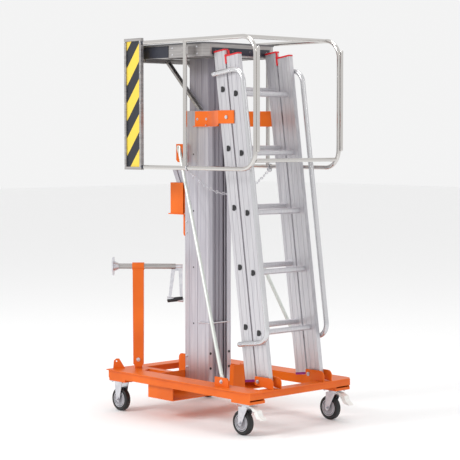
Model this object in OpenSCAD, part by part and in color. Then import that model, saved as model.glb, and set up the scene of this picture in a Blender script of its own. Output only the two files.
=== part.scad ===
// Hand-wound aluminium mast lift on a four-castor base, with an access ladder,
// a lowered guard cage round the platform and two swing-out outriggers.
// Millimetres. +X is the ladder side, +Z is up, the origin is on the floor
// under the middle of the base.

/* [Base frame] */
// Length of the base over its top plates
base_len = 1110; // [1060:1:1240]
// Width of the base over its top plates
base_w = 740; // [720:1:860]
// Height of the base's top above the floor
base_top = 223; // [215:1:260]
// Width of the side rails
rail_w = 115; // [105:1:122]
// Width of the front rail's top flange
front_flange = 60; // [45:1:70]
// Width of the rear rail's top flange
rear_flange = 80; // [60:1:90]
// Depth of the rail webs below the top face
web_depth = 46; // [40:1:52]
// Plate thickness of the rails
rail_t = 5; // [4:0.5:7]
// How far the top plates stand out over the webs
overhang = 12; // [8:1:16]
// Radius of the front corners of the top plate
corner_r = 45; // [20:1:60]

/* [Castors] */
// Wheel diameter
wheel_d = 125; // [110:1:126]
// Tyre width
tyre_w = 32; // [26:1:36]
// Distance of the swivel castors from the base's front end
castor_inset_x = 80; // [74:1:90]
// Distance of the fixed castors from the base's rear end
rear_castor_inset = 60; // [58:1:80]
// Distance of the castors from the base's sides
castor_inset_y = 58; // [54:1:66]
// Trail of the swivel castors
castor_trail = 28; // [20:1:36]

/* [Mast] */
// Width of the fixed section across the machine
mast_w = 160; // [150:1:180]
// Depth of the fixed section along the machine
mast_d = 184; // [176:1:190]
// Front face of the fixed section, from the base's middle
mast_front = -60; // [-75:1:-50]
// Top of the fixed section
mast_top = 1600; // [1500:1:1650]
// Wall of the sections
mast_wall = 4; // [3:0.5:5]
// Running clearance between the sections
mast_gap = 5; // [5:0.5:6]
// Lips at the open front of the sections
mast_lip = 28; // [20:1:32]

/* [Platform] */
// Height of the deck's top face
deck_top = 1943; // [1930:1:2000]
// Rear end of the platform, from the base's middle
plat_rear = -420; // [-440:1:-400]
// Front end of the platform, from the base's middle
plat_front = 103; // [80:1:110]
// Platform width
plat_w = 500; // [460:1:510]
// Depth of the platform's side members
plat_side_h = 64; // [55:1:70]

/* [Guard cage] */
// Width over the tube centres
cage_w = 590; // [580:1:640]
// Front of the cage, from the base's middle
cage_front = 514; // [500:1:560]
// Height of the lowered cage's top tube centre
cage_top = 1953; // [1940:1:1990]
// Height of the cage between tube centres
cage_h = 647; // [600:1:680]
// Tube diameter
cage_tube = 22; // [19:0.5:25]
// Bend radius of the loops
cage_bend = 90; // [60:1:100]
// Width of the striped end panels
panel_w = 138; // [110:1:150]

/* [Ladder] */
// Lean of the ladder from upright
ladder_lean = 8; // [7:0.1:9]
// Distance between stile centres
ladder_w = 362; // [350:1:380]
// Depth of the rear section's stiles
stile_d = 76; // [70:1:80]
// Width of a stile
stile_t = 26; // [22:1:28]
// Distance between the two ladder sections
section_pitch = 91; // [88:1:98]
// Rung pitch
rung_pitch = 300; // [280:1:305]
// Rungs in each section
rungs = 5; // [4:1:5]

/* [Outriggers] */
// Length of the arm from its pivot to the jack
arm_len = 500; // [420:1:540]
// Width of the arm
arm_w = 55; // [50:1:60]
// Thickness of the arm channel
arm_t = 30; // [28:1:36]
// Distance of the pivot from the base's rear end
pivot_inset_x = 100; // [96:1:110]
// Distance of the pivot from the base's side
pivot_inset_y = 142; // [138:1:150]

/* [Hidden] */
$fn = 48;
eps = 0.01;

// Colours
orange = [0.93, 0.39, 0.10];
alu = [0.78, 0.79, 0.80];
zinc = [0.66, 0.67, 0.70];
bright = [0.83, 0.80, 0.77];
black = [0.09, 0.09, 0.10];
red = [0.85, 0.12, 0.14];

// Base frame levels and edges
x_front = base_len / 2;
x_rear = -base_len / 2;
y_side = base_w / 2;
rail_in = y_side - rail_w;
web_low = base_top - web_depth;
castor_top = 163;
castor_x = x_front - castor_inset_x;
rear_castor_x = x_rear + rear_castor_inset;
rear_axle_x = rear_castor_x - 5;
rear_inset = 5;
pad_l = 132;
castor_y = y_side - castor_inset_y;
axle_z = wheel_d / 2;
fit = 0.3;

// Mast section sizes, from the fixed one inwards
mast_rear = mast_front - mast_d;
mast_foot = 112;
step = mast_wall + mast_gap;
mid_w = mast_w - 2 * step;
mid_rear = mast_rear + step;
mid_front = mast_front - step;
inner_w = mid_w - 2 * step;
inner_rear = mid_rear + step;
inner_front = mid_front - step;
plat_low = deck_top - 8 - plat_side_h;
pad_h = 60;

// Cage places
cage_low = cage_top - cage_h;
cage_y = cage_w / 2;
tube_r = cage_tube / 2;
panel_front = plat_rear + 83;
panel_rear = panel_front - panel_w;
joint_len = 18;

// Ladder: its local frame has Z along the stiles and X towards the front,
// with its origin on the rear section's rung line at the base's top level
ladder_x = 380;
ladder_y = 0;
front_stile_d = stile_d + 8;
stile_foot = 31;
stile_rear_top = 1686;
stile_front_foot = 7;
stile_front_top = 1652;
rung_first = 294;
front_drop = 35;
rung_d = 28;
cap_h = 8;
foot_h = 12;

// Outrigger places: the arm swings out along the base's diagonal
pivot_x = x_rear + pivot_inset_x;
pivot_y = y_side - pivot_inset_y;
arm_foot = 38;
pivot_z = base_top + 12 + arm_foot;
lug_out = 105;
jack_d = 29;
jack_out = 103;
jack_in = 200;
rod_d = 19;
pin_d = 12;

// Strut ends: a lug on each side rail and the bracket behind the mast
strut_x = 300;
strut_lug_y = 320;
strut_pin_z = base_top + 25;
strut_top = [mast_rear - 16, 109, 1405];
strut_d = 19;
strut_flat = 7;

// Small shared shapes
module along_x(x0, x1, y, z, d) {
    translate([x0, y, z]) rotate([0, 90, 0]) cylinder(d = d, h = x1 - x0);
}

module along_y(y0, y1, x, z, d) {
    translate([x, y0, z]) rotate([-90, 0, 0]) cylinder(d = d, h = y1 - y0);
}

module span(p, q, d, fn = 48) {
    v = q - p;
    len = norm(v);
    translate(p) rotate([0, acos(v[2] / len), atan2(v[1], v[0])]) cylinder(d = d, h = len, $fn = fn);
}

// A plate standing in the X-Z plane: its outline is given in X and Z
module upright_x(y, t) {
    translate([0, y + t / 2, 0]) rotate([90, 0, 0]) linear_extrude(t) children();
}

// A quarter bend of tube in the plane of the loop
module bend(r, d, from, sweep = 90) {
    rotate([0, 0, from]) rotate_extrude(angle = sweep) translate([r, 0]) circle(d = d);
}

module both_sides() {
    children();
    mirror([0, 1, 0]) children();
}

module ladder_frame() {
    translate([ladder_x, ladder_y, base_top]) rotate([0, -ladder_lean, 0]) children();
}

// The diagonal frame of an outrigger: X points outwards, Z up, origin at the pivot
module outrigger_frame(side) {
    translate([pivot_x, side * pivot_y, pivot_z]) rotate([0, 0, side * 135]) children();
}

// Base frame
module side_rails() {
    color(orange) both_sides() difference() {
        union() {
            translate([x_rear, -y_side, base_top - rail_t]) cube([base_len, rail_w, rail_t]);
            for (y = [-y_side + overhang, -rail_in - rail_t])
                translate([x_rear + rear_inset + rail_t, y, web_low])
                    cube([base_len - rear_inset - overhang - 2 * rail_t, rail_t, web_depth - rail_t + eps]);
            for (x = [x_rear + rear_inset + rail_t, castor_x - pad_l / 2])
                translate([x, -y_side + overhang, castor_top])
                    cube([pad_l, rail_w - overhang, web_low - castor_top]);
        }
        translate([x_front - corner_r, -y_side + corner_r, base_top - 2 * rail_t]) difference() {
            translate([0, -corner_r - 1, 0]) cube([corner_r + 1, corner_r + 1, 3 * rail_t]);
            cylinder(r = corner_r, h = 3 * rail_t);
        }
    }
}

module end_rails() {
    color(orange) {
        translate([x_front - front_flange, -rail_in, base_top - rail_t])
            cube([front_flange, 2 * rail_in, rail_t]);
        translate([x_front - overhang - rail_t, -y_side + overhang, web_low + 8])
            cube([rail_t, base_w - 2 * overhang, web_depth - rail_t - 8]);
        translate([x_rear, -rail_in, base_top - rail_t]) cube([rear_flange, 2 * rail_in, rail_t]);
        translate([x_rear + rear_inset, -y_side + overhang, web_low])
            cube([rail_t, base_w - 2 * overhang, web_depth - rail_t]);
        both_sides() translate([x_rear + rear_flange, -rail_in, base_top - rail_t]) linear_extrude(rail_t)
            polygon([[0, 0], [100, 0], [70, 57], [0, 57]]);
    }
}

// Lowered cross channel that carries the foot of the mast, with a nose in front
cradle_x = mast_rear - rail_t - fit;
cradle_l = mast_d + 2 * (rail_t + fit);
upright_at = mast_front + 148;
module mast_cradle() {
    half = rail_in + 80;
    color(orange) {
        translate([cradle_x, -half, mast_foot - 6]) cube([cradle_l, 2 * half, 6]);
        translate([cradle_x, -half, mast_foot - eps]) cube([rail_t, 2 * half, web_low - mast_foot + eps]);
        both_sides() translate([cradle_x + rail_t - eps, -half, mast_foot - eps])
            cube([cradle_l - rail_t + eps, rail_t, web_low - mast_foot + eps]);
        translate([cradle_x, -rail_in, web_low - eps]) cube([rail_t, 2 * rail_in, web_depth + eps]);
        translate([cradle_x + cradle_l - eps, -52, mast_foot - 6]) cube([upright_at - cradle_x - cradle_l, 104, 6]);
    }
}

module inner_members() {
    y = rail_in - 97;
    len = cradle_x - x_rear - rear_flange;
    color(orange) both_sides() {
        translate([x_rear + rear_flange, -y - 40, base_top - rail_t]) cube([len, 40, rail_t]);
        for (w = [-y - rail_t, -y - 40])
            translate([x_rear + rear_flange, w, web_low]) cube([len, rail_t, web_depth - rail_t + eps]);
    }
}

// Upright plates behind the mast's foot and the folded upright on the cradle's nose
module mast_gussets() {
    color(orange) {
        both_sides() upright_x(-mast_w / 2 + 20, 6) difference() {
            translate([mast_rear - 72, web_low + 3]) square([72, 125]);
            translate([mast_rear - 72, web_low + 128 - 24]) difference() {
                translate([-1, 0]) square([25, 25]);
                translate([24, 0]) circle(r = 24);
            }
            translate([cradle_x, web_low]) square([72, web_depth]);
        }
        translate([upright_at - 5, 0, mast_foot]) rotate([90, 0, 90]) linear_extrude(5)
            polygon([[-46, 0], [46, 0], [37, 166], [-37, 166]]);
        both_sides() translate([upright_at - 5, 0, mast_foot]) rotate([0, -90, 0]) linear_extrude(24)
            polygon([[0, -46], [166, -37], [166, -33], [0, -42]]);
    }
}

module ear_outline(rear, front, low, high) {
    hull() {
        translate([rear, low]) square([1, high - low - 6]);
        translate([rear + 6, high - 6]) circle(r = 6, $fn = 24);
        translate([front - 1, base_top]) square([1, 6]);
        translate([front - 26, high - 26]) circle(r = 26, $fn = 32);
    }
}

ear_rear = x_front - 130;
ear_front = x_front - 3;
ear_pin_x = ear_rear + 22;
ear_pin_z = base_top + 31;
ear_gap = 50;
module ladder_ears() {
    color(orange) for (side = [-1, 1], e = [-1, 1])
        difference() {
            upright_x(ladder_y + side * ladder_w / 2 + e * (ear_gap / 2 + 3), 6)
                difference() {
                    ear_outline(ear_rear, ear_front, base_top + 12, base_top + 55);
                    translate([x_front - front_flange, base_top - 20])
                        square([front_flange + 1, 20]);
                }
            along_y(ladder_y + side * ladder_w / 2 - 60, ladder_y + side * ladder_w / 2 + 60,
                ear_pin_x, ear_pin_z, pin_d);
        }
}

module strut_lugs() {
    color(orange) for (s = [-1, 1])
        difference() {
            upright_x(s * strut_lug_y, 8) difference() {
                translate([strut_x - 48, base_top]) square([100, 46]);
                translate([strut_x + 52, base_top + 46]) rotate([0, 0, 45]) square([20, 20], center = true);
            }
            along_y(s * strut_lug_y - 10, s * strut_lug_y + 10, strut_x, strut_pin_z, pin_d);
        }
}

module lock_lugs() {
    low = base_top - pivot_z;
    color(orange) for (side = [-1, 1]) outrigger_frame(side)
        translate([0, 5, 0]) rotate([90, 0, 0]) linear_extrude(10) difference() {
            polygon([[lug_out - 32, low], [lug_out + 32, low], [lug_out + 28, -8], [lug_out + 16, 2],
                [lug_out, 2]]);
            translate([lug_out + 14, -12]) circle(d = 9);
        }
}

module outrigger_lugs() {
    color(orange) for (side = [-1, 1]) outrigger_frame(side) {
        translate([0, 5, 0]) rotate([90, 0, 0]) linear_extrude(10) difference() {
            hull() {
                circle(r = 13);
                translate([-20, base_top - pivot_z]) square([40, 1]);
            }
            circle(d = pin_d + 0.6);
        }
    }
}

// Castors
module castor_plates() {
    color(zinc) for (x = [castor_x, rear_castor_x], sy = [-1, 1])
        translate([x - 52, sy * castor_y - 42, castor_top - 4]) cube([104, 84, 4]);
}

module fork_cheek(top_x, y, top_z) {
    upright_x(y, 3) difference() {
        hull() {
            translate([top_x - 30, top_z - 3]) square([60, 3]);
            translate([top_x - 30, top_z - 22]) square([48, 10]);
            translate([0, axle_z]) circle(r = 13);
        }
        translate([0, axle_z]) circle(d = 10.4);
    }
}

fork_y = tyre_w / 2 + 6;
module fork(top_x, top_z) {
    for (s = [-1, 1]) fork_cheek(top_x, s * (fork_y + 1.5), top_z);
    translate([top_x - 30, -fork_y - 0.1, top_z - 3]) cube([60, 2 * fork_y + 0.2, 3]);
    along_y(-fork_y - 8, fork_y + 8, 0, axle_z, 10);
}

module rear_forks() {
    color(zinc) for (sy = [-1, 1]) translate([rear_axle_x, sy * castor_y, 0]) fork(5, castor_top - 4);
}

// Swivel fork: its head turns on a ball race under the top plate
module swivel_fork(sy) {
    head = castor_top - 4 - fit;
    color(zinc) translate([castor_x, sy * castor_y, 0]) {
        translate([-castor_trail, 0, 0]) fork(castor_trail - 6, head - 14);
        translate([0, 0, head - 15]) cylinder(d = 58, h = 11);
        translate([0, 0, head - 5]) cylinder(d = 44, h = 5);
    }
}

module fork_near() { swivel_fork(-1); }
module fork_far() { swivel_fork(1); }

// Brake: a rocking pedal above the tyre on the leading side
module brake(sy) {
    color([0.93, 0.93, 0.92]) translate([castor_x, sy * castor_y, 0]) {
        upright_x(0, 34) difference() {
            polygon([[29.2, 152], [29.2, 144], [44, 140], [62, 122], [80, 98], [116, 90], [119, 94], [96, 110], [84, 136],
                [50, 150]]);
            translate([64, 126]) circle(d = 7);
        }
    }
}

module brake_near() { brake(-1); }
module brake_far() { brake(1); }

// Wheel: tyre, stepped hub and bore in one turned piece
module wheel(x, y) {
    r = wheel_d / 2;
    h = tyre_w / 2;
    translate([x, y, axle_z]) rotate([90, 0, 0]) {
        color(black) rotate_extrude() difference() {
            union() {
                translate([40, -h + 3]) square([r - 46, 2 * h - 6]);
                hull() {
                    translate([r - 8, h - 8]) circle(r = 8, $fn = 32);
                    translate([r - 8, -h + 8]) circle(r = 8, $fn = 32);
                    translate([44, -h + 4]) square([1, 2 * h - 8]);
                }
            }
        }
        color([0.55, 0.55, 0.57]) difference() {
            union() {
                rotate_extrude() polygon([[5, -h], [15, -h], [17, -h + 5], [34, -h + 7], [38, -h + 3],
                    [42, -h + 3], [42, h - 3], [38, h - 3], [34, h - 7], [17, h - 5], [15, h], [5, h]]);
            }
            translate([0, 0, -h - 1]) cylinder(d = 10.6, h = 2 * h + 2);
        }
    }
}

module wheel_front_near() { wheel(castor_x - castor_trail, -castor_y); }
module wheel_front_far() { wheel(castor_x - castor_trail, castor_y); }
module wheel_rear_near() { wheel(rear_axle_x, -castor_y); }
module wheel_rear_far() { wheel(rear_axle_x, castor_y); }

// Mast section: an extruded channel, open at the front between two lips
module open_section(rear, front, w, lip) {
    difference() {
        translate([rear, -w / 2]) square([front - rear, w]);
        translate([rear + mast_wall, -w / 2 + mast_wall]) square([front - rear - 2 * mast_wall, w - 2 * mast_wall]);
        translate([front - mast_wall - 1, -w / 2 + lip]) square([mast_wall + 2, w - 2 * lip]);
    }
}

// Shallow grooves along both sides of a section, at distances from its rear
module side_grooves(rear, w, places, wide = 3, deep = 1.5) {
    for (g = places, s = [-1, 1])
        translate([rear + g - wide / 2, s * w / 2 - deep]) square([wide, 2 * deep]);
}

module mast_fixed() {
    color(alu) translate([0, 0, mast_foot]) linear_extrude(mast_top - mast_foot) difference() {
        open_section(mast_rear, mast_front, mast_w, mast_lip);
        side_grooves(mast_rear, mast_w, [98]);
        side_grooves(mast_rear, mast_w, [35], 6, 1);
        side_grooves(mast_rear, mast_w, [mast_d - 26], 2, 1);
    }
}

// Slide pads at the top of the fixed section
module slide_pads(rear, front, w, top) {
    for (s = [-1, 1], x = [rear + mast_wall + 14, front - mast_wall - 44])
        translate([x, s * (w / 2 - mast_wall - mast_gap / 2) - (mast_gap - fit) / 2, top - pad_h])
            cube([30, mast_gap - fit, pad_h]);
    translate([rear + mast_wall, -20, top - pad_h]) cube([mast_gap - fit, 40, pad_h]);
}

module mast_pads() {
    color([0.92, 0.92, 0.90]) slide_pads(mast_rear, mast_front, mast_w, mast_top);
}

mid_top = mast_top;
module mast_mid() {
    color(alu) translate([0, 0, mast_foot + fit]) linear_extrude(mid_top - mast_foot - fit)
        open_section(mid_rear, mid_front, mid_w, mast_lip);
}

module mid_pads() {
    color([0.92, 0.92, 0.90]) slide_pads(mid_rear, mid_front, mid_w, mid_top);
}

// Innermost section: a ribbed tube that carries the platform
module mast_inner() {
    color(alu) translate([0, 0, mast_foot + fit]) linear_extrude(plat_low - mast_foot - fit) {
        difference() {
            translate([inner_rear, -inner_w / 2]) square([inner_front - inner_rear, inner_w]);
            translate([inner_rear + mast_wall, -inner_w / 2 + mast_wall])
                square([inner_front - inner_rear - 2 * mast_wall, inner_w - 2 * mast_wall]);
            side_grooves(inner_rear, inner_w, [44, 96]);
        }
        for (y = [-14, 14]) translate([inner_front - 1, y - 3]) square([4, 6]);
    }
}

// Bent rod across the mast that keeps the sections down in transport
module stop_rod() {
    z = 488;
    d = 8;
    corner = [mast_front + d / 2, -mast_w / 2 - d / 2, z];
    color(bright) {
        along_x(mast_front - 62, corner[0], corner[1], z, d);
        along_y(corner[1], mast_w / 2 - 14, corner[0], z, d);
        translate(corner) sphere(d = d);
        translate([mast_front - 62, -mast_w / 2 - 6.5, z]) sphere(d = 13);
    }
}

// Folded bracket on the mast's rear that takes the top of both struts
module strut_bracket() {
    z0 = 1330;
    z1 = 1426;
    x0 = mast_rear - 42;
    cheek = strut_top[1] - strut_flat / 2 - fit;
    color(orange) difference() {
        union() {
            translate([mast_rear - 5, -cheek, z0]) cube([5, 2 * cheek, z1 - z0]);
            both_sides() upright_x(-cheek + 2.5, 5)
                polygon([[mast_rear + 10, z0], [mast_rear + 10, z1], [x0, z1], [x0, z0 + 12], [x0 + 12, z0]]);
            translate([x0, -cheek, z1 - 4]) cube([mast_rear - x0 - 5, 2 * cheek, 4]);
        }
        along_y(-cheek - 10, cheek + 10, strut_top[0], strut_top[2], pin_d);
    }
}

// Diagonal tubes from the mast's rear down to the lugs, with flattened ends
module struts() {
    color([0.90, 0.91, 0.89]) for (s = [-1, 1]) {
        low = [strut_x, s * (strut_lug_y - 4 - fit - strut_flat / 2), strut_pin_z];
        top = [strut_top[0], s * strut_top[1], strut_top[2]];
        run = top - low;
        a = low + run * 0.03;
        b = top - run * 0.03;
        span(a, b, strut_d);
        difference() {
            for (e = [[a, low], [b, top]]) hull() {
                translate(e[0]) sphere(d = strut_d - 2, $fn = 24);
                translate(e[1]) rotate([90, 0, 0]) cylinder(d = 28, h = strut_flat, center = true, $fn = 32);
            }
            for (e = [low, top]) translate(e) rotate([90, 0, 0]) cylinder(d = pin_d, h = 20, center = true);
        }
        along_y(low[1] - 14, low[1] + 14, low[0], low[2], pin_d);
        along_y(top[1] - 11, top[1] + 11, top[0], top[2], pin_d);
    }
}

// Winch: an open-backed housing on a bracket bolted behind the mast
winch_low = 1055;
winch_high = 1220;
winch_rear = mast_rear - 129;
winch_front = mast_rear - 28;
module winch_housing() {
    color(orange) {
        difference() {
            translate([winch_rear, -70, winch_low]) cube([winch_front - winch_rear, 140, winch_high - winch_low]);
            translate([winch_rear + 4, -66, winch_low - 1])
                cube([winch_front - winch_rear, 132, winch_high - winch_low - 3]);
        }
        translate([winch_rear - 14, -74, winch_low - 5]) cube([mast_rear - winch_rear + 14, 148, 5 + eps]);
        upright_x(0, 100) hull() {
            translate([mast_rear - 48, winch_low - 5]) square([48, 1]);
            translate([mast_rear - 1, winch_low - 123]) square([1, 20]);
            translate([mast_rear - 28, winch_low - 103]) circle(r = 20);
        }
    }
    color(black) {
        along_y(-66, 66, mast_rear - 70, winch_low + 84, 76);
        translate([mast_rear - 26, -62, winch_low - eps]) cube([26, 124, 160]);
    }
}

// Shallow channel that leans from the housing's top up to the bracket's level
module winch_link() {
    low = [winch_rear + 39, winch_high];
    high = [winch_rear, winch_high + 78];
    deep = 30;
    color(alu) difference() {
        upright_x(0, 120) polygon([low, low + [deep, 0], high + [deep, 0], high]);
        upright_x(0, 112) polygon([low + [4, -1], low + [deep + 2, -1], high + [deep + 2, 1], high + [4, 1]]);
    }
    color(black) upright_x(0, 110)
        polygon([low + [deep, 0], low + [deep + 34, 0], [mast_rear, winch_high + 78], high + [deep, 0]]);
}

// Flared plates from the mast's sides to the ladder's rear section
bracket_z = 1517;
bracket_h = 80;
ladder_cos = cos(ladder_lean);
function stile_x(z) = ladder_x - (z - base_top) * tan(ladder_lean);
bolt_z = bracket_z + 46;
bolt_x = stile_x(bracket_z + 40) + 15;
module ladder_brackets() {
    t = 5;
    y0 = mast_w / 2;
    color(orange) for (side = [-1, 1]) {
        y1 = ladder_w / 2 + stile_t / 2 + fit + side * ladder_y;
        x1 = stile_x(bracket_z + bracket_h) - stile_d / 2 / ladder_cos - 4;
        x2 = x1 + 114;
        difference() {
            scale([1, side, 1]) translate([0, 0, bracket_z]) {
                linear_extrude(bracket_h) polygon([[mast_front - 99, y0], [mast_front, y0],
                    [x1, y1], [x1, y1 + t], [mast_front - 4, y0 + t], [mast_front - 99, y0 + t]]);
                translate([0, 0, 14]) linear_extrude(66) polygon([[x1 - eps, y1], [x2, y1], [x2, y1 + t], [x1 - eps, y1 + t]]);
                linear_extrude(4) polygon([[mast_front - 99, y0], [mast_front, y0], [x1, y1], [x1, y1 + t + 10],
                    [mast_front, y0 + t + 14], [mast_front - 99, y0 + t + 14]]);
            }
            along_y(side * y1 - 20, side * y1 + 20, bolt_x, bolt_z, pin_d);
        }
    }
}

// Ladder stile: box extrusion with two grooves in each wide face
module stile(low, high, deep) {
    translate([0, 0, low]) linear_extrude(high - low) difference() {
        square([deep, stile_t], center = true);
        square([deep - 6, stile_t - 6], center = true);
        for (x = [-18, 18], s = [-1, 1])
            translate([x, s * stile_t / 2]) square([2.5, 2.5], center = true);
    }
}

module rung_bores(low_z) {
    for (i = [0:rungs - 1])
        translate([0, 0, low_z + i * rung_pitch]) rotate([90, 0, 0]) cylinder(d = rung_d - 4, h = 2 * stile_t, center = true);
}

module stiles_rear() {
    color(alu) ladder_frame() for (s = [-1, 1]) translate([0, s * ladder_w / 2, 0]) difference() {
        stile(stile_foot, stile_rear_top, stile_d);
        rung_bores(rung_first);
    }
}

front_first = rung_first - front_drop;
module stiles_front() {
    color(alu) difference() {
        ladder_frame() for (s = [-1, 1]) translate([section_pitch, s * ladder_w / 2, 0]) difference() {
            stile(stile_front_foot, stile_front_top, front_stile_d);
            rung_bores(front_first);
        }
        along_y(-ladder_w, ladder_w, ear_pin_x, ear_pin_z, pin_d);
    }
}

// Rung: a tube swaged through both stiles, open at its ends
module rung() {
    inside = ladder_w - stile_t;
    difference() {
        union() {
            rotate([90, 0, 0]) cylinder(d = rung_d, h = inside, center = true);
            rotate([90, 0, 0]) cylinder(d = rung_d - 4, h = ladder_w + stile_t + 3, center = true);
        }
        rotate([90, 0, 0]) cylinder(d = rung_d - 8, h = ladder_w + 2 * stile_t, center = true);
    }
}

module rungs_rear() {
    color(alu) ladder_frame() for (i = [0:rungs - 1]) translate([0, 0, rung_first + i * rung_pitch]) rung();
}

module rungs_front() {
    color(alu) ladder_frame() for (i = [0:rungs - 1])
        translate([section_pitch, 0, front_first + i * rung_pitch]) rung();
}

// Red caps on the stile tops, and the catches that tie the two sections
module ladder_caps() {
    gap = section_pitch - stile_d / 2 - front_stile_d / 2;
    color(red) ladder_frame() for (s = [-1, 1]) translate([0, s * ladder_w / 2, 0]) {
        translate([-stile_d / 2 - 1, -stile_t / 2 - 1, stile_rear_top]) cube([stile_d + 2, stile_t + 2, cap_h]);
        translate([section_pitch - front_stile_d / 2, -stile_t / 2 - 1, stile_front_top])
            cube([front_stile_d + 1, stile_t + 2, cap_h]);
        translate([stile_d / 2, -stile_t / 2 - 2, stile_front_top - 34]) cube([gap, stile_t + 4, 46]);
        translate([stile_d / 2 + 2, -s * 10 - 4, stile_front_top + 12 - eps]) cube([gap - 4, 8, 22]);
    }
}

module ladder_feet() {
    color([0.55, 0.10, 0.38]) ladder_frame() for (s = [-1, 1]) translate([0, s * ladder_w / 2, 0])
        translate([-stile_d / 2 - 1, -stile_t / 2 - 1, stile_foot - foot_h]) cube([stile_d + 2, stile_t + 2, foot_h]);
}

// Handrails: tubes bent to a long U, with their ends on the rear stiles
rail_low = 210;
rail_high = 1577;
rail_r = 65;
rail_d = 26;
rail_stand = 171;
rail_off = 5;
module handrails() {
    y = ladder_w / 2 + stile_t / 2 + rail_d / 2 + rail_off;
    x0 = -stile_d / 2 - 10 + rail_d / 2;
    color([0.86, 0.86, 0.86]) ladder_frame() for (s = [-1, 1]) translate([0, s * y, 0]) {
        along_x(x0, rail_stand - rail_r, 0, rail_low, rail_d);
        along_x(x0, rail_stand - rail_r, 0, rail_high, rail_d);
        translate([rail_stand, 0, rail_low + rail_r]) cylinder(d = rail_d, h = rail_high - rail_low - 2 * rail_r);
        translate([rail_stand - rail_r, 0, rail_low + rail_r]) rotate([90, 0, 0]) bend(rail_r, rail_d, 270);
        translate([rail_stand - rail_r, 0, rail_high - rail_r]) rotate([90, 0, 0]) bend(rail_r, rail_d, 0);
        for (z = [rail_low, rail_high]) {
            translate([x0, 0, z]) sphere(d = rail_d);
            for (x = [-18, section_pitch]) translate([x, -s * (rail_d / 2 + rail_off), z]) rotate([s * -90, 0, 0])
                cylinder(d = 18, h = rail_off + rail_d / 2);
        }
    }
}

// Pins through the ears and the front stiles' feet, and bolts at the brackets
module ladder_pins() {
    out = stile_t / 2 + fit;
    color(zinc) for (side = [-1, 1]) {
        y = ladder_y + side * ladder_w / 2;
        along_y(y - 36, y + 36, ear_pin_x, ear_pin_z, pin_d);
        for (e = [-1, 1]) {
            along_y(y + e * (ear_gap / 2 + 9) - 3, y + e * (ear_gap / 2 + 9) + 3, ear_pin_x, ear_pin_z, 20);
            along_y(min(y + e * out, y + e * ear_gap / 2), max(y + e * out, y + e * ear_gap / 2),
                ear_pin_x, ear_pin_z, 22);
        }
        yb = ladder_y + side * (ladder_w / 2 + out + 5 + 3);
        along_y(yb - 3, yb + 3, bolt_x, bolt_z, 19);
    }
}

// Platform: channel frame with cut front corners, sheet deck and end lip
plat_y = plat_w / 2;
cover_len = 0.46 * (plat_front - plat_rear);
nose_x = 20;
nose_y = 35;
module plat_outline(inset = 0) {
    polygon([[plat_rear + inset, -plat_y + inset], [plat_front - nose_x, -plat_y + inset],
        [plat_front - inset, -plat_y + nose_y], [plat_front - inset, plat_y - nose_y],
        [plat_front - nose_x, plat_y - inset], [plat_rear + inset, plat_y - inset]]);
}

module platform_frame() {
    color([0.72, 0.71, 0.70]) {
        translate([0, 0, plat_low]) linear_extrude(plat_side_h) difference() {
            plat_outline();
            plat_outline(4);
        }
        translate([0, 0, plat_low]) linear_extrude(4) difference() {
            plat_outline();
            plat_outline(26);
        }
        for (x = [plat_rear + 110, inner_rear - 42, inner_front + 6])
            translate([x, -plat_y + 3, plat_low]) cube([36, plat_w - 6, 40]);
        both_sides() translate([inner_rear - 8, inner_w / 2 - 6, plat_low + eps])
            cube([inner_front - inner_rear + 16, 12, 40 - 2 * eps]);
        translate([plat_rear, -plat_y + 16, plat_low - 18]) cube([34, plat_w - 32, 18 + eps]);
    }
}

module platform_deck() {
    lip = 8;
    color([0.30, 0.30, 0.31]) translate([0, 0, deck_top - lip]) linear_extrude(lip) offset(delta = 4) plat_outline();
}

// Dark cover strips over the rear half of the platform's sides
module platform_covers() {
    color([0.10, 0.12, 0.17]) both_sides()
        translate([plat_rear, -plat_y - 3, plat_low + 1]) cube([cover_len, 3, plat_side_h - 4]);
}

// Braces from the platform's rear down to the innermost section
module platform_braces() {
    t = 3;
    w = 26;
    head = [plat_rear + 34, plat_low - 18];
    foot = [mast_front - 77, mast_top + 6];
    color([0.62, 0.63, 0.65]) both_sides() for (part = [[w / 2, w, 4], [t / 2, t, 18], [w - t / 2, t, 18]])
        upright_x(-inner_w / 2 - part[0], part[1])
            polygon([head, head + [0, part[2]], foot + [part[2], 0], foot]);
}

// Forked guides on the platform's sides that hold the cage's middle posts
module cage_guides() {
    color([0.62, 0.62, 0.62]) both_sides()
        translate([-24, -cage_y - 3, plat_low + 10]) difference() {
            cube([48, cage_y + 3 - plat_y, 40]);
            translate([24 - tube_r - 0.5, -1, -1]) cube([cage_tube + 1, cage_tube / 2 + 16, 42]);
        }
}

// Cage: each side is a tube loop open at its rear, with a middle post
module side_loop(y) {
    rear = panel_front + joint_len;
    bend_x = cage_front - cage_bend;
    along_x(rear, bend_x, y, cage_top, cage_tube);
    along_x(rear, bend_x, y, cage_low, cage_tube);
    translate([cage_front, y, cage_low + cage_bend]) cylinder(d = cage_tube, h = cage_h - 2 * cage_bend);
    translate([bend_x, y, cage_top - cage_bend]) rotate([90, 0, 0]) bend(cage_bend, cage_tube, 0);
    translate([bend_x, y, cage_low + cage_bend]) rotate([90, 0, 0]) bend(cage_bend, cage_tube, 270);
    translate([0, y, cage_low]) cylinder(d = cage_tube, h = cage_h);
}

module cage_loops() {
    color(bright) for (s = [-1, 1]) side_loop(s * cage_y);
}

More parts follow.
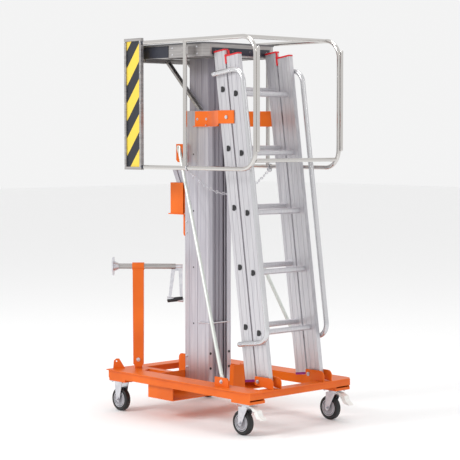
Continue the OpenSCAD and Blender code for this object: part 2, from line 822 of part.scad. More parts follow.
// Front of the cage: two cross tubes, and short posts against the loops
module cage_front_rails() {
    post_d = 16;
    post_low = cage_low + 92;
    post_high = cage_top - 58;
    bottom_z = 42;
    bend_x = cage_front - cage_bend;
    reach = cage_y - tube_r;
    bottom_x = bend_x + sqrt(pow(cage_bend, 2) - pow(cage_bend - bottom_z, 2));
    color(bright) {
        along_y(-reach, reach, bend_x, cage_top, cage_tube - 2);
        along_y(-reach, reach, bottom_x, cage_low + bottom_z, cage_tube - 2);
        for (s = [-1, 1]) translate([cage_front + tube_r + post_d / 2, s * cage_y, 0]) {
            translate([0, 0, post_low]) cylinder(d = post_d, h = post_high - post_low);
            for (z = [post_low, post_high]) translate([0, 0, z]) sphere(d = post_d);
        }
    }
}

panel_low = cage_low - 15;
panel_high = cage_top + 26;
module panel_frames() {
    edge = 15;
    color([0.80, 0.78, 0.77]) for (s = [-1, 1]) upright_x(s * cage_y, 18) difference() {
        translate([panel_rear, panel_low]) square([panel_w, panel_high - panel_low]);
        translate([panel_rear + edge, panel_low + edge])
            square([panel_w - 2 * edge, panel_high - panel_low - 2 * edge]);
    }
}

module panel_boards() {
    edge = 15;
    color([0.95, 0.82, 0.25]) for (s = [-1, 1]) upright_x(s * cage_y, 4)
        translate([panel_rear + edge, panel_low + edge])
            square([panel_w - 2 * edge, panel_high - panel_low - 2 * edge]);
}

module cage_joints() {
    color(black) for (s = [-1, 1], z = [cage_top, cage_low])
        along_x(panel_front, panel_front + joint_len, s * cage_y, z, cage_tube - 4);
}

// Safety chain: links along a parabola between the middle posts
chain_x = 20;
chain_wire = 3.6;
link_l = 30;
link_w = 17;
chain_sag = 120;
chain_half = cage_y - 12;
chain_top = cage_low - 20;
link_pitch = link_l - 2 * chain_wire - 0.15;
chain_len = 2 * chain_half * (1 + 8 / 3 * pow(chain_sag / (2 * chain_half), 2));
link_count = floor(chain_len / link_pitch);
function chain_z(y) = chain_top - chain_sag * (1 - pow(y / chain_half, 2));
function chain_slope(y) = atan(2 * chain_sag * y / (chain_half * chain_half));
// Place of the i-th link along the span, by stepping one pitch at a time
function chain_y(i) = i == 0 ? -chain_half + 8
    : let (before = chain_y(i - 1)) before + link_pitch * cos(chain_slope(before));

// Outline of a link: straight sides and round ends, as a closed list of points
function link_ring(l, w) = [for (k = [0:15]) let (a = 11.25 + 22.5 * k)
    [(l - w) / 2 * (cos(a) > 0 ? 1 : -1) + w / 2 * cos(a), w / 2 * sin(a)]];

module link() {
    translate([0, 0, -chain_wire / 2]) linear_extrude(chain_wire) difference() {
        polygon(link_ring(link_l, link_w));
        polygon(link_ring(link_l - 2 * chain_wire, link_w - 2 * chain_wire));
    }
}

module safety_chain() {
    color(bright) {
        for (i = [0:link_count])
            translate([chain_x, chain_y(i), chain_z(chain_y(i))]) rotate([chain_slope(chain_y(i)), 0, 0])
                rotate([0, i % 2 == 0 ? 25 : 115, 0]) rotate([0, 0, 90]) link();
        for (s = [-1, 1]) translate([chain_x, s * cage_y, cage_low]) rotate([0, 90, 0])
            rotate_extrude() translate([tube_r + 2.7, 0]) circle(d = 5);
    }
}

// Outrigger arm: a channel open on its outer side, with the jack collar on top
module arm(side) {
    cheek = 4;
    inner = arm_t - 2 * cheek;
    half = arm_w / 2;
    color(orange) outrigger_frame(side) difference() {
        union() {
            difference() {
                translate([0, arm_t / 2, 0]) rotate([90, 0, 0]) linear_extrude(arm_t)
                    polygon([[-half + 12, -arm_foot], [half - 12, -arm_foot], [half, -arm_foot + 14],
                        [half + 2, arm_len], [-half - 2, arm_len], [-half, -arm_foot + 14]]);
                translate([-half + cheek, -inner / 2, -arm_foot - 1])
                    cube([arm_w + 10, inner, arm_len + arm_foot + 2]);
            }
            translate([-half - 4, 0, arm_len]) rotate([0, 90, 0]) cylinder(d = jack_d + 12, h = arm_w + 8);
        }
        translate([-arm_w, 0, arm_len]) rotate([0, 90, 0]) cylinder(d = jack_d, h = 2 * arm_w);
    }
    color(zinc) outrigger_frame(side) translate([0, arm_t / 2 + 4, 0]) rotate([90, 0, 0])
        cylinder(d = pin_d, h = arm_t + 8);
}

module arm_near() { arm(-1); }
module arm_far() { arm(1); }

// Jack tube held in the collar, across the top of the arm
module jack(side) {
    color([0.72, 0.69, 0.69]) outrigger_frame(side) difference() {
        translate([-jack_in, 0, arm_len]) rotate([0, 90, 0]) cylinder(d = jack_d, h = jack_in + jack_out);
        translate([-jack_in + 14, 0, arm_len]) rotate([0, 90, 0])
            cylinder(d = rod_d + 2 * fit, h = jack_in + jack_out);
    }
}

module jack_near() { jack(-1); }
module jack_far() { jack(1); }

// Crank: two straps from the jack's head down to a round grip
module crank(side) {
    drop = 172;
    x = -jack_in;
    color([0.60, 0.58, 0.60]) outrigger_frame(side) {
        for (leg = [[x + 12, x + 32, 22], [x - 26, x - 30, 20]])
            translate([0, 4, 0]) rotate([90, 0, 0]) linear_extrude(8) polygon([
                [leg[0] - leg[2] / 2, arm_len - jack_d / 2], [leg[0] + leg[2] / 2, arm_len - jack_d / 2],
                [leg[1] + 7, arm_len - drop], [leg[1] - 7, arm_len - drop]]);
        translate([x - 37, 0, arm_len]) rotate([0, 90, 0]) cylinder(d = 22, h = 37 + eps);
        translate([x - 37, -8, arm_len - jack_d / 2 - 9]) cube([37 + 23, 16, 9]);
        translate([x - 37, -8, arm_len - jack_d / 2 - eps]) cube([37, 16, 12]);
    }
    color(black) outrigger_frame(side) translate([x - 42, 0, arm_len - drop - 12 + 2]) rotate([0, 84, 0])
        cylinder(d = 22, h = 88);
}

module crank_near() { crank(-1); }
module crank_far() { crank(1); }

// Foot: the jack's rod, its cone and the round pad
module foot(side) {
    cone = 27;
    rim = 8;
    color(zinc) outrigger_frame(side) translate([jack_out, 0, arm_len]) rotate([0, 90, 0]) {
        translate([0, 0, -170]) cylinder(d = rod_d, h = 172);
        translate([0, 0, fit]) cylinder(d1 = jack_d + 3, d2 = 58, h = cone - fit);
        translate([0, 0, cone]) rotate_extrude() difference() {
            square([50, rim]);
            translate([50, rim]) rotate([0, 0, 45]) square([4, 4], center = true);
        }
    }
}

module foot_near() { foot(-1); }
module foot_far() { foot(1); }

side_rails();
end_rails();
mast_cradle();
inner_members();
mast_gussets();
ladder_ears();
strut_lugs();
lock_lugs();
outrigger_lugs();
castor_plates();
rear_forks();
fork_near();
fork_far();
brake_near();
brake_far();
wheel_front_near();
wheel_front_far();
wheel_rear_near();
wheel_rear_far();
mast_fixed();
mast_pads();
mast_mid();
mid_pads();
mast_inner();
stop_rod();
strut_bracket();
struts();
winch_housing();
winch_link();
ladder_brackets();
stiles_rear();
stiles_front();
rungs_rear();
rungs_front();
ladder_caps();
ladder_feet();
handrails();
ladder_pins();
platform_frame();
platform_deck();
platform_covers();
platform_braces();
cage_guides();
cage_loops();
cage_front_rails();
panel_frames();
panel_boards();
cage_joints();
safety_chain();
arm_near();
arm_far();
jack_near();
jack_far();
crank_near();
crank_far();
foot_near();
foot_far();
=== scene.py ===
"""Looks of the mast lift: materials, fasteners, plugs, chain, floor, lights and camera.

Sizes and places of the pieces are in millimetres. Materials, floor, lights and camera are in metres.
"""
import math

import bpy
from mathutils import Matrix, Vector


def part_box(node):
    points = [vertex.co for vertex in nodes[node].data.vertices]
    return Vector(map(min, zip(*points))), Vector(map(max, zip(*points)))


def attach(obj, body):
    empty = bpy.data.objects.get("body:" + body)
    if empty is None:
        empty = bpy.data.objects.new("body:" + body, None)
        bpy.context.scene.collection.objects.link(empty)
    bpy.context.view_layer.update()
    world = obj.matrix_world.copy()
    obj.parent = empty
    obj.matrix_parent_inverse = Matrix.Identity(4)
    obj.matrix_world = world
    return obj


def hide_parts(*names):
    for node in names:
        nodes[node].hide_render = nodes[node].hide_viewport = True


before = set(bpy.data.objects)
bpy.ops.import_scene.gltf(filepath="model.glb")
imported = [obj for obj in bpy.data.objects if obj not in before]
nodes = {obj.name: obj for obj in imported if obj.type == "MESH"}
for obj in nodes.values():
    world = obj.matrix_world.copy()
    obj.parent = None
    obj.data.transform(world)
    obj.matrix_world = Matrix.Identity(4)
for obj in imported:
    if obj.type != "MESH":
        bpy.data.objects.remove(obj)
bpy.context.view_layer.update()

# Driving sizes of the lift, in millimetres

LEAN = math.radians(8)
SLOPE = math.tan(LEAN)
BASE_TOP = 223
RUNG_LINE_X = 380
STILE_Y = 181
EAR_PIN_X = 447
CASTOR_Y = 312
SWIVEL_X = 475
REAR_PLATE_X = -495
PLATE_LOW = 158.9
FRONT_AXLE_X = 447
REAR_AXLE_X = -500
AXLE_Z = 62.5
AXLE_HALF = 30
MAST_SIDE = 80
MAST_FRONT = -60
PLATFORM_SIDE = 250
PLATFORM_FRONT = 103
DECK_TOP = 1943
CAGE_Y = 295
CAGE_LOW = 1306
CHAIN_X = 20
SIDES = (("near", -1), ("far", 1))


# Materials

def material(name, colour, metallic=0.0, roughness=0.5, coat=0.0):
    mat = bpy.data.materials.new(name)
    mat.use_nodes = True
    shader = principled(mat)
    shader.inputs["Base Color"].default_value = (*colour, 1)
    shader.inputs["Metallic"].default_value = metallic
    shader.inputs["Roughness"].default_value = roughness
    shader.inputs["Coat Weight"].default_value = coat
    return mat


def principled(mat):
    return mat.node_tree.nodes["Principled BSDF"]


def node_of(mat, kind, **values):
    n = mat.node_tree.nodes.new(kind)
    for k, v in values.items():
        setattr(n, k, v)
    return n


def wire(mat, a, out, b, into):
    mat.node_tree.links.new(a.outputs[out], b.inputs[into])


def noise(mat, scale, stretch=(1, 1, 1), detail=3.0):
    """Noise on object coordinates, stretched by a mapping."""
    coord = node_of(mat, "ShaderNodeTexCoord")
    place = node_of(mat, "ShaderNodeMapping")
    place.inputs["Scale"].default_value = stretch
    tex = node_of(mat, "ShaderNodeTexNoise")
    tex.inputs["Scale"].default_value = scale
    tex.inputs["Detail"].default_value = detail
    wire(mat, coord, "Object", place, "Vector")
    wire(mat, place, "Vector", tex, "Vector")
    return tex


def mottle(mat, tex, dark, light):
    """Colour between two shades by the noise."""
    ramp = node_of(mat, "ShaderNodeValToRGB")
    ramp.color_ramp.elements[0].position = 0.35
    ramp.color_ramp.elements[0].color = (*dark, 1)
    ramp.color_ramp.elements[1].position = 0.65
    ramp.color_ramp.elements[1].color = (*light, 1)
    wire(mat, tex, "Fac", ramp, "Fac")
    wire(mat, ramp, "Color", principled(mat), "Base Color")


def rough(mat, tex, low, high):
    """Roughness between two values by the noise."""
    span = node_of(mat, "ShaderNodeMapRange")
    span.inputs["To Min"].default_value = low
    span.inputs["To Max"].default_value = high
    wire(mat, tex, "Fac", span, "Value")
    wire(mat, span, "Result", principled(mat), "Roughness")


def bump(mat, tex, strength, distance):
    """A fine grain in the surface."""
    b = node_of(mat, "ShaderNodeBump")
    b.inputs["Strength"].default_value = strength
    b.inputs["Distance"].default_value = distance
    wire(mat, tex, "Fac", b, "Height")
    wire(mat, b, "Normal", principled(mat), "Normal")


def orange_paint():
    """Powder coat with a slight orange-peel grain."""
    mat = material("orange_paint", (0.76, 0.135, 0.005), 0.0, 0.46, 0.08)
    principled(mat).inputs["Specular IOR Level"].default_value = 0.3
    tex = noise(mat, 5.0)
    mottle(mat, tex, (0.70, 0.118, 0.003), (0.80, 0.148, 0.006))
    bump(mat, noise(mat, 900.0), 0.06, 0.0002)
    return mat


def extrusion(name, colour, shade, metallic, roughness, stretch=(60, 60, 1.2)):
    """Drawn metal: streaks along the profile, which stands upright unless the stretch says otherwise."""
    mat = material(name, colour, metallic, roughness)
    tex = noise(mat, 3.0, stretch, 4.0)
    mottle(mat, tex, shade, colour)
    rough(mat, tex, roughness - 0.05, roughness + 0.08)
    return mat


def polished():
    """Bright stainless tube."""
    mat = material("polished_tube", (0.62, 0.60, 0.58), 1.0, 0.14)
    rough(mat, noise(mat, 30.0), 0.09, 0.19)
    return mat


def zinc_plate():
    """Bright zinc with the faint cloudiness of plating."""
    mat = material("zinc_plate", (0.62, 0.62, 0.65), 0.9, 0.34)
    tex = noise(mat, 40.0)
    mottle(mat, tex, (0.56, 0.56, 0.60), (0.70, 0.70, 0.73))
    return mat


def plain(name, colour, roughness, scale=60.0, depth=0.12, metallic=0.0, coat=0.0):
    """One colour, darker in places by the depth."""
    mat = material(name, colour, metallic, roughness, coat)
    tex = noise(mat, scale)
    mottle(mat, tex, tuple(c * (1 - depth) for c in colour), colour)
    return mat


def hazard():
    """Diagonal black and yellow bands that rise towards +X."""
    rise = 1.28
    first_edge = 2.229
    band_pair = 0.184
    black_share = 0.49
    black = (0.012, 0.014, 0.022, 1)
    yellow = (0.83, 0.60, 0.06, 1)
    mat = material("hazard", (0.9, 0.7, 0.1), 0.0, 0.42, 0.1)
    coord = node_of(mat, "ShaderNodeTexCoord")
    split = node_of(mat, "ShaderNodeSeparateXYZ")
    lean = node_of(mat, "ShaderNodeMath", operation="MULTIPLY_ADD")
    lean.inputs[1].default_value = -rise
    start = node_of(mat, "ShaderNodeMath", operation="SUBTRACT")
    start.inputs[1].default_value = first_edge
    part = node_of(mat, "ShaderNodeMath", operation="DIVIDE")
    part.inputs[1].default_value = band_pair
    frac = node_of(mat, "ShaderNodeMath", operation="FRACT")
    ramp = node_of(mat, "ShaderNodeValToRGB")
    ramp.color_ramp.interpolation = "CONSTANT"
    ramp.color_ramp.elements[0].color = black
    ramp.color_ramp.elements[1].position = black_share
    ramp.color_ramp.elements[1].color = yellow
    wire(mat, coord, "Object", split, "Vector")
    wire(mat, split, "X", lean, 0)
    wire(mat, split, "Z", lean, 2)
    wire(mat, lean, "Value", start, 0)
    wire(mat, start, "Value", part, 0)
    wire(mat, part, "Value", frac, 0)
    wire(mat, frac, "Value", ramp, "Fac")
    wire(mat, ramp, "Color", principled(mat), "Base Color")
    return mat


def wheel_material(node):
    """Black tyre round a grey hub with a darker rim, by the distance from the axle."""
    per_metre = 10.0
    rim_from = 0.036
    tyre_from = 0.043
    hub = (0.36, 0.35, 0.38, 1)
    rim = (0.20, 0.20, 0.22, 1)
    tyre = (0.010, 0.010, 0.011, 1)
    low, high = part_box(node)
    centre = (low + high) / 2
    mat = material("wheel_" + node, (0.02, 0.02, 0.022), 0.0, 0.55)
    coord = node_of(mat, "ShaderNodeTexCoord")
    away = node_of(mat, "ShaderNodeVectorMath", operation="SUBTRACT")
    away.inputs[1].default_value = centre
    flat = node_of(mat, "ShaderNodeVectorMath", operation="MULTIPLY")
    flat.inputs[1].default_value = (1, 0, 1)
    dist = node_of(mat, "ShaderNodeVectorMath", operation="LENGTH")
    wide = node_of(mat, "ShaderNodeMath", operation="MULTIPLY")
    wide.inputs[1].default_value = per_metre
    ramp = node_of(mat, "ShaderNodeValToRGB")
    ramp.color_ramp.interpolation = "CONSTANT"
    ramp.color_ramp.elements[0].color = hub
    ramp.color_ramp.elements[1].position = tyre_from * per_metre
    ramp.color_ramp.elements[1].color = tyre
    ramp.color_ramp.elements.new(rim_from * per_metre).color = rim
    wire(mat, coord, "Object", away, 0)
    wire(mat, away, "Vector", flat, 0)
    wire(mat, flat, "Vector", dist, 0)
    wire(mat, dist, "Value", wide, 0)
    wire(mat, wide, "Value", ramp, "Fac")
    wire(mat, ramp, "Color", principled(mat), "Base Color")
    return mat


ORANGE = orange_paint()
ALU = extrusion("mast_aluminium", (0.62, 0.60, 0.64), (0.50, 0.48, 0.53), 0.8, 0.33)
# The inner mast section gets a darker, purple-grey copy of the mast aluminium: painted shade on that section.
ALU_PAINTED_SHADE = extrusion("inner_aluminium_painted_shade", (0.38, 0.36, 0.40), (0.28, 0.26, 0.30), 0.7, 0.4)
LADDER = extrusion("ladder_aluminium", (0.66, 0.65, 0.67), (0.56, 0.55, 0.58), 0.7, 0.33)
TUBE = polished()
RAIL = extrusion("rail_tube", (0.66, 0.66, 0.67), (0.58, 0.58, 0.60), 0.85, 0.24, (1, 1, 1))
ZINC = zinc_plate()
STRUT = plain("strut_tube", (0.70, 0.73, 0.69), 0.3, 30.0, 0.05, 0.35)
WHITE = plain("white_steel", (0.86, 0.86, 0.83), 0.35)
BLACK = plain("black_plastic", (0.012, 0.012, 0.014), 0.4)
DARK = plain("dark_paint", (0.018, 0.021, 0.035), 0.35)
DECK = plain("deck", (0.16, 0.16, 0.17), 0.6, 200.0, 0.3)
FRAME = extrusion("platform_frame", (0.46, 0.44, 0.43), (0.35, 0.335, 0.33), 0.75, 0.32, (1.5, 1.5, 40))
NYLON = plain("nylon", (0.82, 0.82, 0.78), 0.5)
RED = plain("red_plastic", (0.68, 0.010, 0.018), 0.3, 60.0, 0.1, 0.0, 0.3)
VIOLET = plain("violet_plastic", (0.22, 0.010, 0.16), 0.4)
HAZARD = hazard()

LOOKS = {
    "side_rails end_rails mast_cradle inner_members mast_gussets ladder_ears strut_lugs lock_lugs "
    "outrigger_lugs strut_bracket winch_housing ladder_brackets arm_near arm_far": ORANGE,
    "castor_plates rear_forks fork_near fork_far ladder_pins foot_near foot_far stop_rod crank_near "
    "crank_far": ZINC,
    "jack_near jack_far": FRAME,
    "brake_near brake_far": WHITE,
    "mast_fixed mast_mid winch_link": ALU,
    "mast_inner": ALU_PAINTED_SHADE,
    "stiles_rear stiles_front rungs_rear rungs_front": LADDER,
    "handrails": RAIL,
    "struts": STRUT,
    "mast_pads mid_pads": NYLON,
    "ladder_caps": RED,
    "ladder_feet": VIOLET,
    "platform_deck": DECK,
    "platform_covers cage_joints": DARK,
    "platform_frame platform_braces cage_guides panel_frames": FRAME,
    "cage_loops cage_front_rails safety_chain": TUBE,
    "panel_boards": HAZARD,
}


def paint(name, mat):
    for place in nodes[name].material_slots:
        place.material = mat


for names, look in LOOKS.items():
    for name in names.split():
        paint(name, look)
for name in ("wheel_front_near", "wheel_front_far", "wheel_rear_near", "wheel_rear_far"):
    paint(name, wheel_material(name))


# Shaping tools

def metres(*lengths):
    return tuple(v / 1000 for v in lengths)


def clear():
    if bpy.context.object and bpy.context.object.mode != "OBJECT":
        bpy.ops.object.mode_set(mode="OBJECT")
    bpy.ops.object.select_all(action="DESELECT")


def pick(*objs):
    clear()
    for obj in objs:
        obj.select_set(True)
    bpy.context.view_layer.objects.active = objs[0]


def cylinder(radius, height, middle=0, sides=24):
    """A cylinder along Z round the origin, with its middle at a height."""
    clear()
    bpy.ops.mesh.primitive_cylinder_add(vertices=sides, radius=radius / 1000, depth=height / 1000,
                                        location=metres(0, 0, middle))
    return bpy.context.object


def block(size, at=(0, 0, 0)):
    clear()
    bpy.ops.mesh.primitive_cube_add(size=1, location=metres(*at))
    obj = bpy.context.object
    obj.scale = metres(*size)
    bpy.ops.object.transform_apply(location=False, rotation=False, scale=True)
    return obj


def wire_ring(radius, wire_radius, around=48, across=10):
    """A ring of round wire about Z."""
    clear()
    bpy.ops.mesh.primitive_torus_add(major_radius=radius / 1000, minor_radius=wire_radius / 1000,
                                     major_segments=around, minor_segments=across)
    return bpy.context.object


def bevelled(obj, width, segments=2, limit=40):
    """Rounds the sharp edges for good."""
    pick(obj)
    mod = obj.modifiers.new("edge", "BEVEL")
    mod.width = width / 1000
    mod.segments = segments
    mod.limit_method = "ANGLE"
    mod.angle_limit = math.radians(limit)
    bpy.ops.object.modifier_apply(modifier=mod.name)
    return obj


def sunk_top(obj, border, depth):
    """Insets the top face by a border and lowers it by a depth."""
    pick(obj)
    bpy.ops.object.mode_set(mode="EDIT")
    bpy.ops.mesh.select_all(action="DESELECT")
    bpy.ops.object.mode_set(mode="OBJECT")
    for face in obj.data.polygons:
        face.select = face.normal.z > 0.9
    bpy.ops.object.mode_set(mode="EDIT")
    bpy.ops.mesh.inset(thickness=border / 1000)
    bpy.ops.mesh.extrude_region_move(TRANSFORM_OT_translate={"value": metres(0, 0, -depth)})
    bpy.ops.object.mode_set(mode="OBJECT")
    return obj


def joined(parts):
    pick(*parts)
    if len(parts) > 1:
        bpy.ops.object.join()
    return bpy.context.object


def copies(pattern, places):
    """One object from copies of a pattern at 4x4 places, each with its own mesh. The pattern goes."""
    made = []
    for place in places:
        obj = pattern.copy()
        obj.data = pattern.data.copy()
        bpy.context.collection.objects.link(obj)
        obj.matrix_world = place
        made.append(obj)
    bpy.data.objects.remove(pattern, do_unlink=True)
    return joined(made)


def done(obj, name, body, mat, replaced=()):
    """Applies the place, shades, names, paints and hangs the piece on its body."""
    pick(obj)
    bpy.ops.object.transform_apply(location=True, rotation=True, scale=True)
    bpy.ops.object.shade_smooth_by_angle(angle=math.radians(40))
    obj.name = name
    obj.data.name = name
    obj.data.materials.clear()
    obj.data.materials.append(mat)
    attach(obj, body)
    if replaced:
        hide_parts(*replaced)


def turned(axis, degrees):
    return Matrix.Rotation(math.radians(degrees), 4, axis)


AXES = {
    "x": turned("Y", 90),
    "-x": turned("Y", -90),
    "y": turned("X", -90),
    "-y": turned("X", 90),
    "z": Matrix.Identity(4),
    "-z": turned("X", 180),
}


def spot(x, y, z, axis="z", scale=1.0):
    """Place of a copy, with the pattern's +Z along the axis."""
    return Matrix.Translation(metres(x, y, z)) @ AXES[axis] @ Matrix.Scale(scale, 4)


def outwards(s):
    """The axis that points away from the middle on side s."""
    return "y" if s > 0 else "-y"


def hex_bolt():
    """A hexagon head with chamfered corners on a washer, standing on z = 0, with its stud's end."""
    across = 13
    washer_t = 1.6
    head_t = 5.5
    head_top = washer_t + head_t
    washer = bevelled(cylinder(across * 0.78, washer_t, washer_t / 2), 0.4, 1)
    corner = across / 2 / math.cos(math.pi / 6)
    head = bevelled(cylinder(corner, head_t, washer_t + head_t / 2, sides=6), 0.7, 2)
    stud = bevelled(cylinder(across * 0.27, 2, head_top + 1, sides=16), 0.4, 1)
    return joined([washer, head, stud])


def socket_bolt(radius=4.5, height=3):
    """A round head with a socket, standing on z = 0."""
    head = sunk_top(cylinder(radius, height, height / 2, sides=20), radius * 0.45, height * 0.4)
    return bevelled(head, radius * 0.25, 2, 50)


# Mast

def mast_bolts():
    """Bolts of the rear strip, the ladder brackets, the winch plate and the strut bracket."""
    strip_x = -232
    strip_rows = (240, 299, 955, 1013, 1341, 1394)
    bracket_face = 85.3
    bracket_row = 1556
    lower_lip = (-66, 92, 1521.2)
    stile_bolt = (208, 199.4, 1563)
    winch_plate_top = 1055.2
    strut_bracket_x = -249.2
    strut_bracket_row = 1402
    places = []
    for s in (-1, 1):
        out = outwards(s)
        places += [spot(strip_x, s * MAST_SIDE, z, out, 0.85) for z in strip_rows]
        places += [spot(x, s * bracket_face, bracket_row, out, 0.7) for x in (-70, -140)]
        places.append(spot(lower_lip[0], s * lower_lip[1], lower_lip[2], "z", 0.7))
        places.append(spot(stile_bolt[0], s * stile_bolt[1], stile_bolt[2], out, 0.8))
    places += [spot(x, y, winch_plate_top, "z", 0.55) for x in (-380, -268) for y in (-60, 60)]
    places += [spot(strut_bracket_x, y, strut_bracket_row, "-x", 0.7) for y in (-88, -50, 50, 88)]
    done(copies(hex_bolt(), places), "mast_bolts", "base", ZINC)


def mast_hole_shade():
    """Small black discs for holes in the mast's sides, painted shade inside the holes, four to a side, about
    a rung's step apart.
    """
    column_x = -177
    rows = (478, 776, 1074, 1372)
    places = [spot(column_x, s * MAST_SIDE, z, outwards(s)) for s in (-1, 1) for z in rows]
    # Black here is painted shade standing in for the inside of each hole.
    done(copies(socket_bolt(4.5, 1.6), places), "mast_hole_shade", "base", BLACK)


def lip_bolts():
    """Dark bolts in the front lips, low on the mast."""
    lip_y = 66
    places = [spot(MAST_FRONT, s * lip_y, z, "x") for s in (-1, 1) for z in (327, 248)]
    done(copies(socket_bolt(7, 4), places), "lip_bolts", "base", BLACK)


# Ladder

def stile_x(z, ahead):
    """x of a ladder section's rung line at height z, ahead of the rear section's."""
    return RUNG_LINE_X - (z - BASE_TOP) * SLOPE + ahead


def rung_plug():
    """A short black plug, cut flat on its rear side, with a raised rim."""
    flat_at = -8.5
    plug = cylinder(15, 3, sides=28)
    pick(plug)
    bpy.ops.object.mode_set(mode="EDIT")
    bpy.ops.mesh.select_all(action="SELECT")
    bpy.ops.mesh.bisect(plane_co=metres(flat_at, 0, 0), plane_no=(-1, 0, 0), use_fill=True, clear_outer=True)
    bpy.ops.object.mode_set(mode="OBJECT")
    return sunk_top(plug, 2, 1.2)


def rung_plugs():
    """The ends of all rungs, on the outer faces of the stiles."""
    rungs = 5
    rung_step = 297.1
    plug_y = 196.2
    sections = ((514, 0), (492, 92))
    places = []
    for first_z, ahead in sections:
        for k in range(rungs):
            z = first_z + k * rung_step
            places += [spot(stile_x(z, ahead), s * plug_y, z, outwards(s)) for s in (-1, 1)]
    done(copies(rung_plug(), places), "rung_plugs", "base", BLACK)


def handrail_bolts():
    """Bolts through the bosses at the handrails' ends, in the ladder's leaning frame."""
    outer_y = 224.6
    places = []
    for along in (-18, 91):
        for up in (210, 1577):
            x = RUNG_LINE_X + along * math.cos(LEAN) - up * math.sin(LEAN)
            z = BASE_TOP + along * math.sin(LEAN) + up * math.cos(LEAN)
            places += [spot(x, s * outer_y, z, outwards(s), 1.5) for s in (-1, 1)]
    done(copies(socket_bolt(), places), "handrail_bolts", "base", ZINC)


# Base and castors

def base_bolts():
    """Bolts of the castor plates, the strut lugs and the ladder ears."""
    plate_bolt = (40, 32)
    strut_bolt = (300, 324.2, 248)
    ear_face = 37.2
    ear_pin_z = 254
    places = []
    for x in (SWIVEL_X, REAR_PLATE_X):
        for y in (-CASTOR_Y, CASTOR_Y):
            for dx in (-plate_bolt[0], plate_bolt[0]):
                for dy in (-plate_bolt[1], plate_bolt[1]):
                    places.append(spot(x + dx, y + dy, PLATE_LOW, "-z", 0.8))
    for s in (-1, 1):
        places.append(spot(strut_bolt[0], s * strut_bolt[1], strut_bolt[2], outwards(s)))
        for e in (-1, 1):
            places.append(spot(EAR_PIN_X, s * STILE_Y + e * ear_face, ear_pin_z, outwards(e), 0.75))
    done(copies(hex_bolt(), places), "base_bolts", "base", ZINC)


def axle_nuts(name, body, axle_x, sides):
    """Nuts on both ends of the axles at x, on the given sides of the base."""
    places = [spot(axle_x, s * CASTOR_Y + e * AXLE_HALF, AXLE_Z, outwards(e), 0.8)
              for s in sides for e in (-1, 1)]
    done(copies(hex_bolt(), places), name, body, ZINC)


def bead_ring(radius, wire_radius, at, axis="z"):
    """A wire ring, flattened on its two sides."""
    obj = wire_ring(radius, wire_radius)
    bpy.ops.object.mode_set(mode="EDIT")
    bpy.ops.mesh.select_all(action="SELECT")
    bpy.ops.transform.resize(value=(1, 1, 0.8))
    bpy.ops.object.mode_set(mode="OBJECT")
    obj.matrix_world = spot(*at, axis)
    return obj


def race_ring(side, s):
    """Dust ring of a swivel race, between the fork's head and the plate."""
    ring = bead_ring(24.5, 1.8, (SWIVEL_X, s * CASTOR_Y, 156.9))
    done(ring, "race_ring_" + side, "castor_" + side, BLACK)


def wheel_rings(body, x, y):
    """Two bead rings on each face of a wheel."""
    face = 15.2
    beads = [bead_ring(radius, 1.6, (x, y + e * face, AXLE_Z), "y") for radius in (42.5, 34) for e in (-1, 1)]
    done(joined(beads), "bead_rings_" + body, body, ZINC)


# Platform and cage

def deck_ribs():
    """Raised ribs across the deck."""
    ribs = 24
    rib_pitch = 20
    rib_middle = DECK_TOP + 0.4
    places = [spot(-400 + rib_pitch * k, 0, rib_middle) for k in range(ribs)]
    rib = bevelled(block((7, 440, 2.2)), 0.9)
    done(copies(rib, places), "deck_ribs", "lift_stage", DARK)


def platform_screws():
    """Screws in the platform's sides and along its front."""
    places = [spot(x, s * PLATFORM_SIDE, z, outwards(s))
              for s in (-1, 1) for x in (-150, -60, 40) for z in (1884, 1920)]
    places += [spot(PLATFORM_FRONT, y, 1900, "x", 1.2) for y in (-180, -60, 60, 180)]
    done(copies(socket_bolt(), places), "platform_screws", "lift_stage", ZINC)


def front_face():
    """The dark strip on the platform's front."""
    strip = bevelled(block((2, 410, 36), (PLATFORM_FRONT + 0.8, 0, 1898)), 0.6)
    done(strip, "front_face", "lift_stage", DARK)


def panel_rivets():
    """Rivets of the striped panels. Those of the near panel point into its frame and don't show."""
    face = 11
    places = [spot(x, s * (CAGE_Y + e * face), z, outwards(e), 0.9)
              for s in (-1, 1) for e in (-1, 1) for x in (-468, -344) for z in (1310, 1470, 1640, 1800, 1960)]
    done(copies(socket_bolt(), places), "panel_rivets", "cage", ZINC)


# Safety chain

def chain_link():
    """A ring of wire whose two halves are drawn apart into an oval along Y."""
    half_stretch = 6.5
    link = wire_ring(7, 2, around=20, across=8)
    for v in link.data.vertices:
        v.select = v.co.y > 0
    bpy.ops.object.mode_set(mode="EDIT")
    bpy.ops.transform.translate(value=metres(0, half_stretch, 0))
    bpy.ops.mesh.select_all(action="INVERT")
    bpy.ops.transform.translate(value=metres(0, -half_stretch, 0))
    bpy.ops.object.mode_set(mode="OBJECT")
    return link


def safety_chain():
    """Links along a hanging curve between the two loops' lower tubes, with a hook and two eye rings."""
    half_span = 283
    sag = 120
    ends_z = 1286
    pitch = 22.65
    places = []
    y = -half_span + 8
    while y < half_span:
        slope = math.atan(2 * sag * y / (half_span * half_span))
        z = ends_z - sag * (1 - (y / half_span) ** 2)
        twist = 25 if len(places) % 2 == 0 else 115
        places.append(spot(CHAIN_X, y, z) @ turned("X", math.degrees(slope)) @ turned("Y", twist))
        y += pitch * math.cos(slope)
    links = copies(chain_link(), places)
    hook_at = spot(CHAIN_X, 279, 1283) @ turned("X", 40) @ turned("Y", 70) @ Matrix.Scale(1.7, 4)
    hook = copies(chain_link(), [hook_at])
    eyes = []
    for s in (-1, 1):
        eye = wire_ring(13.7, 2.5, around=32)
        eye.matrix_world = spot(CHAIN_X, s * CAGE_Y, CAGE_LOW, "x")
        eyes.append(eye)
    done(joined([links, hook] + eyes), "chain", "cage", ZINC, ("safety_chain",))


# Outriggers

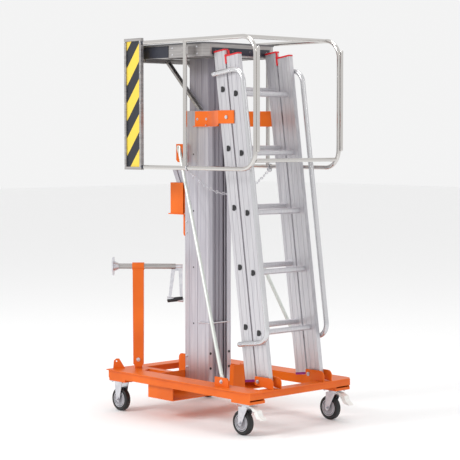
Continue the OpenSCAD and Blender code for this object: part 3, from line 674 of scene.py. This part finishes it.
def outrigger_hardware(side, s):
    """Nuts on the pivot pin and the grip of the jack's crank, in the arm's diagonal frame."""
    diagonal = math.sqrt(0.5)
    nut_at = 19.2
    grip_back = 197
    grip_up = 322
    grip_tilt = math.radians(6)
    pivot = Vector(metres(-455, s * 228, 273))
    out = Vector((-diagonal, s * diagonal, 0))
    across = Vector((s * diagonal, diagonal, 0))
    ends = []
    for way in (across, -across):
        facing = Matrix.Rotation(math.atan2(way.y, way.x), 4, "Z") @ AXES["x"]
        ends.append(Matrix.Translation(pivot + way * (nut_at / 1000)) @ facing)
    done(copies(hex_bolt(), ends), "pivot_nuts_" + side, "outrigger_" + side, ZINC)
    grip_at = pivot - out * (grip_back / 1000) + Vector(metres(0, 0, grip_up))
    along = (out * math.cos(grip_tilt) - Vector((0, 0, math.sin(grip_tilt)))).normalized()
    grip = bevelled(cylinder(12.5, 84, sides=28), 3, 3)
    grip.matrix_world = Matrix.Translation(grip_at) @ along.to_track_quat("Z", "Y").to_matrix().to_4x4()
    done(grip, "crank_grip_" + side, "outrigger_" + side, BLACK)


mast_bolts()
mast_hole_shade()
lip_bolts()
rung_plugs()
base_bolts()
for side, s in SIDES:
    axle_nuts("axle_nuts_" + side, "castor_" + side, FRONT_AXLE_X, (s,))
axle_nuts("axle_nuts_rear", "base", REAR_AXLE_X, (-1, 1))
for side, s in SIDES:
    race_ring(side, s)
wheel_rings("wheel_a", FRONT_AXLE_X, -CASTOR_Y)
wheel_rings("wheel_b", FRONT_AXLE_X, CASTOR_Y)
wheel_rings("wheel_c", REAR_AXLE_X, -CASTOR_Y)
wheel_rings("wheel_d", REAR_AXLE_X, CASTOR_Y)
handrail_bolts()
deck_ribs()
platform_screws()
front_face()
safety_chain()
panel_rivets()
for side, s in SIDES:
    outrigger_hardware(side, s)


# Floor, backdrop, lights and camera

def pale_floor():
    clear()
    bpy.ops.mesh.primitive_plane_add(size=60, location=(0, 0, 0))
    floor = bpy.context.object
    floor.name = "floor"
    floor.data.materials.append(material("floor", (0.95, 0.95, 0.95), 0.0, 0.9))


def white_surroundings():
    world = bpy.data.worlds.new("studio")
    bpy.context.scene.world = world
    world.use_nodes = True
    background = world.node_tree.nodes["Background"]
    background.inputs["Color"].default_value = (1.0, 1.0, 1.0, 1)
    background.inputs["Strength"].default_value = 0.9


def lamp(name, at, aim, size, power):
    """A round soft light that faces a point."""
    data = bpy.data.lights.new(name, "AREA")
    data.shape = "DISK"
    data.size = size
    data.energy = power
    obj = bpy.data.objects.new(name, data)
    bpy.context.collection.objects.link(obj)
    obj.location = at
    obj.rotation_euler = (Vector(aim) - Vector(at)).to_track_quat("-Z", "Y").to_euler()


def photo_camera():
    """The place and lens of the photo, aimed slightly down so that the whole lift is in view."""
    look_down = 3.46
    heading = 46.85
    data = bpy.data.cameras.new("camera")
    data.lens = 121.41
    data.sensor_width = 36
    camera = bpy.data.objects.new("camera", data)
    bpy.context.collection.objects.link(camera)
    camera.location = (5.916, -5.528, 1.467)
    camera.rotation_euler = (math.radians(90 - look_down), 0, math.radians(heading))
    bpy.context.scene.camera = camera
    bpy.context.scene.view_settings.view_transform = "Standard"


pale_floor()
white_surroundings()
lamp("key", (-1.6, -5.5, 4.2), (0, 0, 1.0), 1.6, 150)
lamp("side", (5.5, 1.0, 3.0), (0, 0, 1.0), 1.2, 8)
lamp("top", (0.5, 0.5, 6.0), (0, 0, 0), 2.5, 60)
photo_camera()
